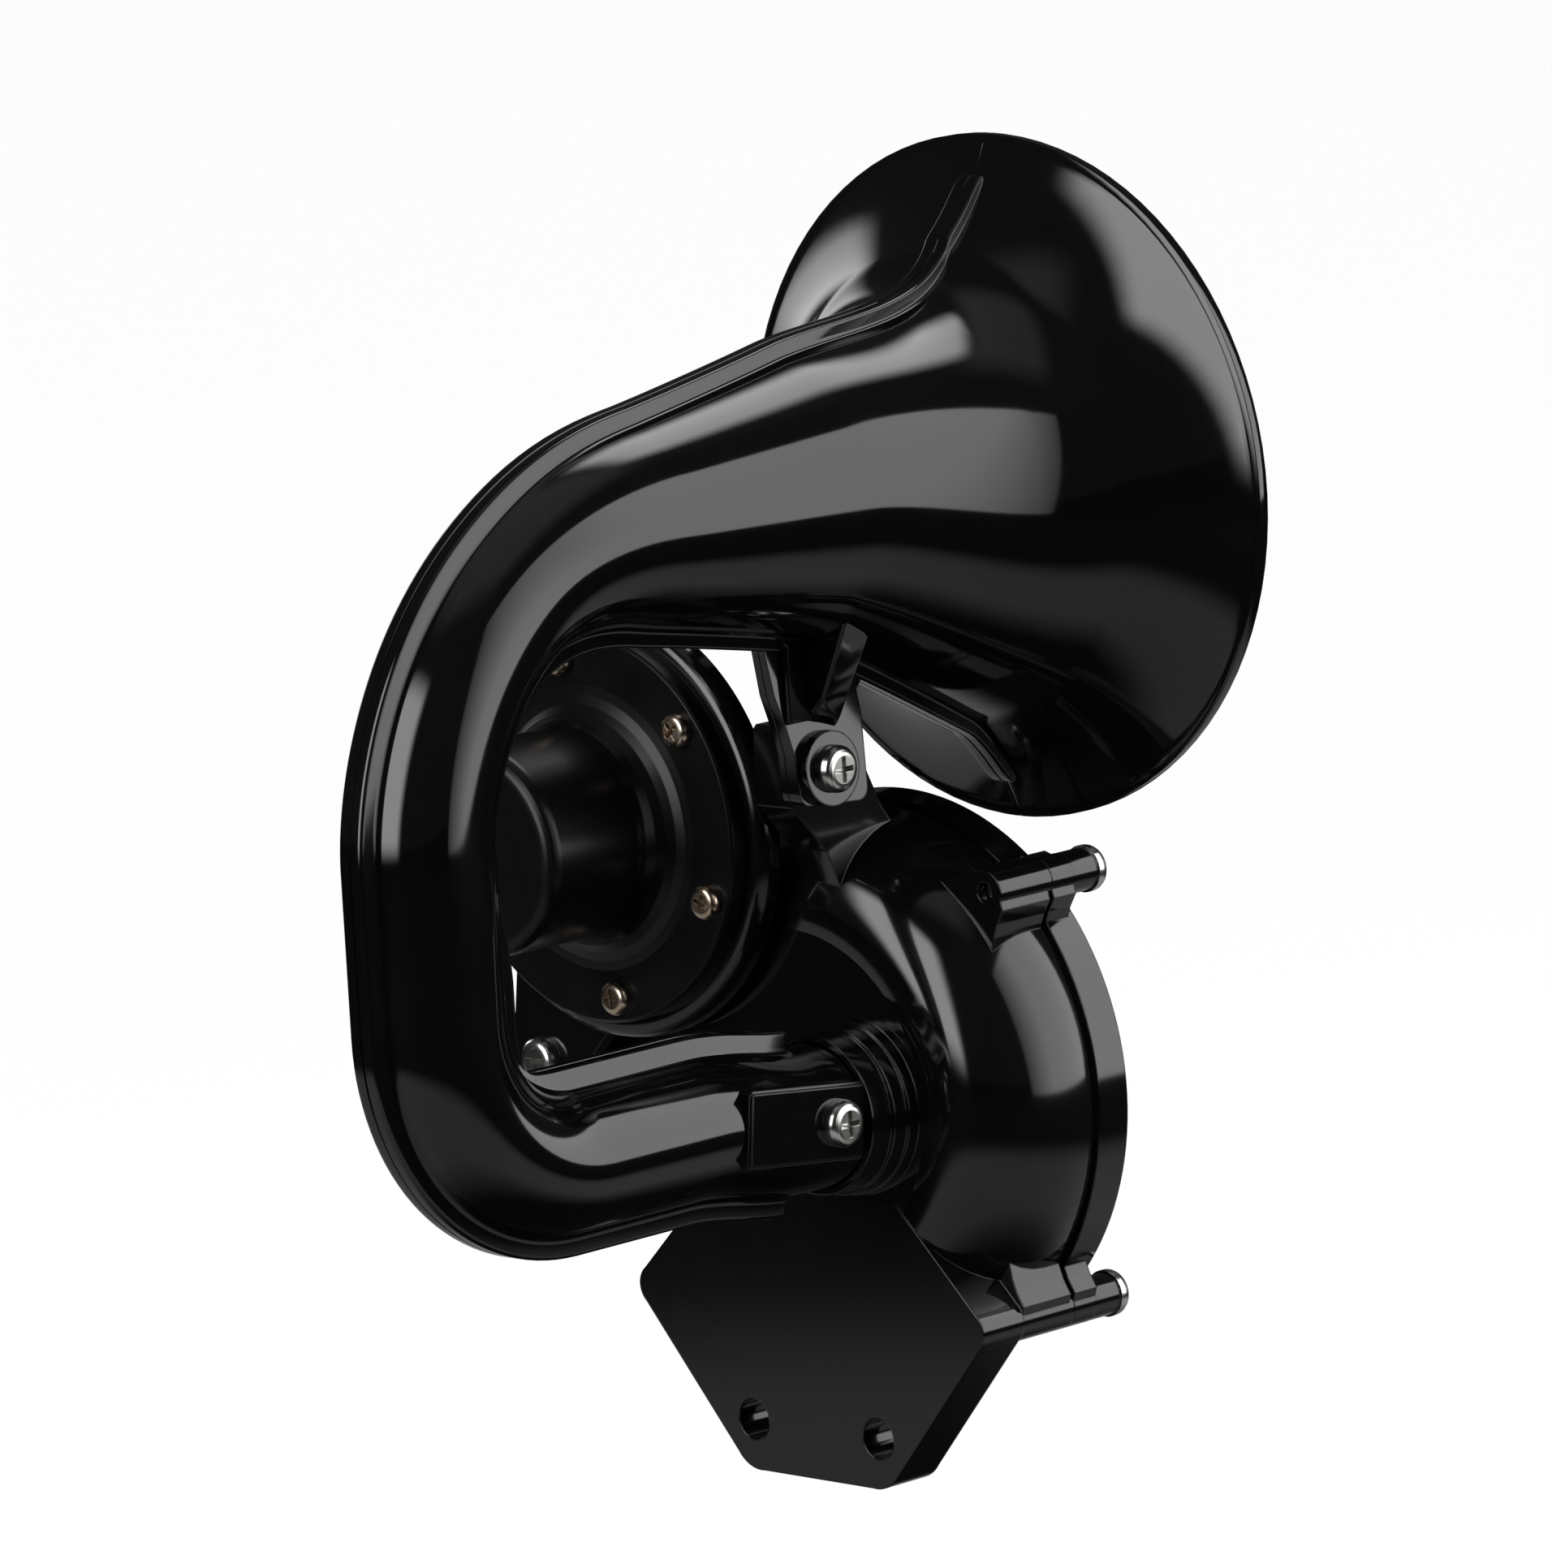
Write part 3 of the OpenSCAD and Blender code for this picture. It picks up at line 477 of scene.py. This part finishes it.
# Screws and nut: steel with bright zinc, pressed and rolled, with a fine grain on the heads.
# The six round the motor have a warmer passivation, which shows as small tan patches.
zinc = finish("bright_zinc", "#CFCFCC", "#B4B4B0", roughness=0.2, metal=1.0, patch_size=2.5,
              grain=0.004, edge=0.12)
dress(zinc, "clamp_screws", "socket_screw", "stay_screw", "base_screws", "stay_nut", "motor_screws")
warm_zinc = finish("warm_zinc", "#C9C5BC", "#A5825A", roughness=0.22, metal=1.0, patch_size=1.8,
                   grain=0.004, edge=0.12)
dress(warm_zinc, "cover_screws")

# Motor cover: the same nylon from a finely etched tool, so its shine is a little softer.
# The block that insulates the feed blades and the carrier of the brushes are moulded the same way.
satin = finish("satin_black", "#08080A", "#0C0C0D", roughness=0.27, grain=0.0015, edge=0.3,
               specular=0.22)
dress(satin, "motor_cover", "terminal_block", "brush_carrier")

# Metal inside: a drawn and plated steel can, ground shaft, sintered steel pump parts, punched core
# plates, bronze bushes, a copper commutator with enamelled wire, and tinned brass blades.
plated = finish("plated_steel", "#B9BABB", "#A3A4A6", roughness=0.28, metal=1.0, patch_size=12,
                grain=0.003)
dress(plated, "motor_can", "motor_shaft", "diaphragm")
sintered = finish("sintered_steel", "#7C7B78", "#62615E", roughness=0.45, metal=1.0, patch_size=3,
                  grain=0.02, grain_size=0.5)
dress(sintered, "cam_ring", "port_plate", "pump_rotor", "armature_core")
bronze = finish("oiled_bronze", "#8F6A45", "#76522F", roughness=0.4, metal=1.0, patch_size=1.5,
                grain=0.012)
dress(bronze, "front_bush", "rear_bush", "diaphragm_boss")
copper = finish("bright_copper", "#B4694A", "#96502F", roughness=0.25, metal=1.0, patch_size=2)
dress(copper, "commutator", "armature_windings")
tinned = finish("tinned_brass", "#B9B4A4", "#A69A78", roughness=0.24, metal=1.0, patch_size=3,
                grain=0.003, edge=0.1)
dress(tinned, "terminals")

# Soft and dull parts: rubber rings, a fibre gasket, carbon brushes and vanes, ferrite magnets and
# the open foam of the intake filter, each with its own grain.
rubber = finish("soft_rubber", "#141414", "#1B1B1B", roughness=0.55, patch_size=2, grain=0.01)
dress(rubber, "socket_o_ring", "air_port_o_ring", "pump_seal")
fibre = finish("gasket_fibre", "#262523", "#34322E", roughness=0.8, patch_size=1.2, grain=0.05,
               grain_size=0.6)
dress(fibre, "cover_gasket", "pump_vanes", "motor_brushes")
ferrite = finish("ferrite", "#2A2A2C", "#1F1F21", roughness=0.6, patch_size=4, grain=0.02,
                 grain_size=0.5)
dress(ferrite, "motor_magnets")
foam = finish("open_foam", "#3B3B39", "#232322", roughness=0.95, patch_size=0.9, grain=0.4,
              grain_size=0.8)
dress(foam, "intake_filter")

# Floor: a pale one well below the horn, which is held up as by its bracket. To the camera it is
# white and keeps a faint shadow. Gloss sees a pale table there, dark beyond its edge, with a painted
# shadow under the horn.
floor_drop = 120
floor_half = 12000
table_radius = 520
table_centre = Vector((120, 20, -floor_drop)) * mm
table_outside, table_inside = 1.15, 0.85
# Painted shadow: in this round patch under the horn the table's colour is darkened to stand in for
# the horn's shade.
painted_shade_radius = 170
painted_shade_centre = Vector((0, -20, -floor_drop)) * mm
painted_shade_inside, painted_shade_outside = 0.6, 1.3
ground = bmesh.new()
bmesh.ops.create_grid(ground, x_segments=1, y_segments=1, size=floor_half * mm)
bmesh.ops.translate(ground, verts=ground.verts, vec=(0, 0, -floor_drop * mm))
floor_mesh = bpy.data.meshes.new("floor")
ground.to_mesh(floor_mesh)
ground.free()
floor = bpy.data.objects.new("floor", floor_mesh)
scene.collection.objects.link(floor)
pale = bpy.data.materials.new("pale_floor")
pale.use_nodes = True
tree = pale.node_tree
tree.nodes.clear()
spot = add(tree, "NewGeometry")
from_table = add(tree, "VectorMath", {"Vector": spot.outputs["Position"]}, operation="DISTANCE")
from_table.inputs[1].default_value = table_centre
on_table = add(tree, "MapRange", {"Value": from_table.outputs["Value"]},
               interpolation_type="SMOOTHSTEP", From_Min=table_radius * table_outside * mm,
               From_Max=table_radius * table_inside * mm)
from_painted_shade = add(tree, "VectorMath", {"Vector": spot.outputs["Position"]}, operation="DISTANCE")
from_painted_shade.inputs[1].default_value = painted_shade_centre
outside_painted_shade = add(tree, "MapRange", {"Value": from_painted_shade.outputs["Value"]},
               interpolation_type="SMOOTHSTEP", From_Min=painted_shade_radius * painted_shade_inside * mm,
               From_Max=painted_shade_radius * painted_shade_outside * mm)
# The table is pale only inside its edge and outside the painted shadow; elsewhere it takes the dark
# colour.
table_outside_painted_shade = add(tree, "Math", {0: on_table.outputs["Result"], 1: outside_painted_shade.outputs["Result"]},
                 operation="MULTIPLY")
albedo = add(tree, "MixRGB", {"Fac": table_outside_painted_shade.outputs["Value"]}, Color1=srgb("#202020"),
             Color2=srgb("#B4B4B4"))
matt = add(tree, "BsdfDiffuse", {"Color": albedo.outputs["Color"]})
faint = add(tree, "BsdfDiffuse", Color=srgb("#404040"))
glow = add(tree, "Emission", Strength=0.975)
seen = add(tree, "AddShader")
tree.links.new(faint.outputs["BSDF"], seen.inputs[0])
tree.links.new(glow.outputs["Emission"], seen.inputs[1])
path = add(tree, "LightPath")
blend = add(tree, "MixShader", {"Fac": path.outputs["Is Camera Ray"]})
tree.links.new(matt.outputs["BSDF"], blend.inputs[1])
tree.links.new(seen.outputs["Shader"], blend.inputs[2])
last = add(tree, "OutputMaterial")
tree.links.new(blend.outputs["Shader"], last.inputs["Surface"])
floor_mesh.materials.append(pale)

# Air: white to the camera. Gloss sees only a small share of it, so that black plastic stays black,
# and it adds next to no light of its own.
mirrored_share = 0.03
fill = 0.01
scene.world = bpy.data.worlds.new("studio")
scene.world.use_nodes = True
tree = scene.world.node_tree
air = tree.nodes["Background"]
air.inputs["Color"].default_value = srgb("#FFFFFF")
path = add(tree, "LightPath")
mirrored = add(tree, "Math", {"Value": path.outputs["Is Glossy Ray"]}, operation="MAXIMUM")
tree.links.new(path.outputs["Is Transmission Ray"], mirrored.inputs[1])
dimmed = add(tree, "Math", {"Value": mirrored.outputs["Value"]}, operation="MULTIPLY_ADD")
dimmed.inputs[1].default_value = mirrored_share
dimmed.inputs[2].default_value = fill
strength = add(tree, "Math", {"Value": path.outputs["Is Camera Ray"]}, operation="MAXIMUM")
tree.links.new(dimmed.outputs["Value"], strength.inputs[1])
tree.links.new(strength.outputs["Value"], air.inputs["Strength"])


# Softboxes: a wide one at the camera's right, dimmer at its rear end, a tall one behind the camera's
# left shoulder, one far to the left, a small one high in front and a weak one overhead. Turn is
# measured from the bell's direction towards the horn's left. A soft share of each side fades out.
def softbox(name, turn, height, wide, tall, glow, soft=0.03, rear=1.0, distance=1300):
    aim = head_centre + Vector((0, 0, 50)) * mm
    rear_share = 0.4
    lamp = bpy.data.lights.new(name, "AREA")
    lamp.shape = "RECTANGLE"
    lamp.size = 2 * distance * mm * math.tan(math.radians(wide / 2))
    lamp.size_y = 2 * distance * mm * math.tan(math.radians(tall / 2))
    lamp.energy = glow * math.pi * lamp.size * lamp.size_y
    lamp.use_nodes = True
    tree = lamp.node_tree
    across = add(tree, "SeparateXYZ", {"Vector": add(tree, "NewGeometry").outputs["Parametric"]})
    share = add(tree, "MapRange", {"Value": across.outputs["X"]}, From_Max=rear_share, To_Min=rear,
                To_Max=1.0)
    for axis in "XY":
        edge = add(tree, "Math", {"Value": across.outputs[axis]}, operation="PINGPONG")
        edge.inputs[1].default_value = 0.5
        fade = add(tree, "MapRange", {"Value": edge.outputs["Value"]},
                   interpolation_type="SMOOTHSTEP", From_Max=soft)
        both = add(tree, "Math", {"Value": fade.outputs["Result"]}, operation="MULTIPLY")
        tree.links.new(share.outputs[0], both.inputs[1])
        share = both
    tree.links.new(share.outputs["Value"], tree.nodes["Emission"].inputs["Strength"])
    box = bpy.data.objects.new(name, lamp)
    scene.collection.objects.link(box)
    a = math.radians(turn)
    b = math.radians(height)
    away = Vector((math.sin(a) * math.cos(b), -math.cos(a) * math.cos(b), math.sin(b)))
    box.location = aim + away * distance * mm
    box.rotation_euler = away.to_track_quat("Z", "Y").to_euler()


softbox("right_box", turn=-63, height=20, wide=70, tall=56, glow=3.1, rear=0.15)
softbox("back_box", turn=174, height=20, wide=48, tall=52, glow=5.5, soft=0.2)
softbox("left_box", turn=79, height=15, wide=32, tall=30, glow=2, soft=0.3, distance=800)
softbox("high_box", turn=17, height=60, wide=32, tall=30, glow=4, soft=0.3)
softbox("overhead_box", turn=-150, height=84, wide=60, tall=60, glow=0.3, soft=0.3)
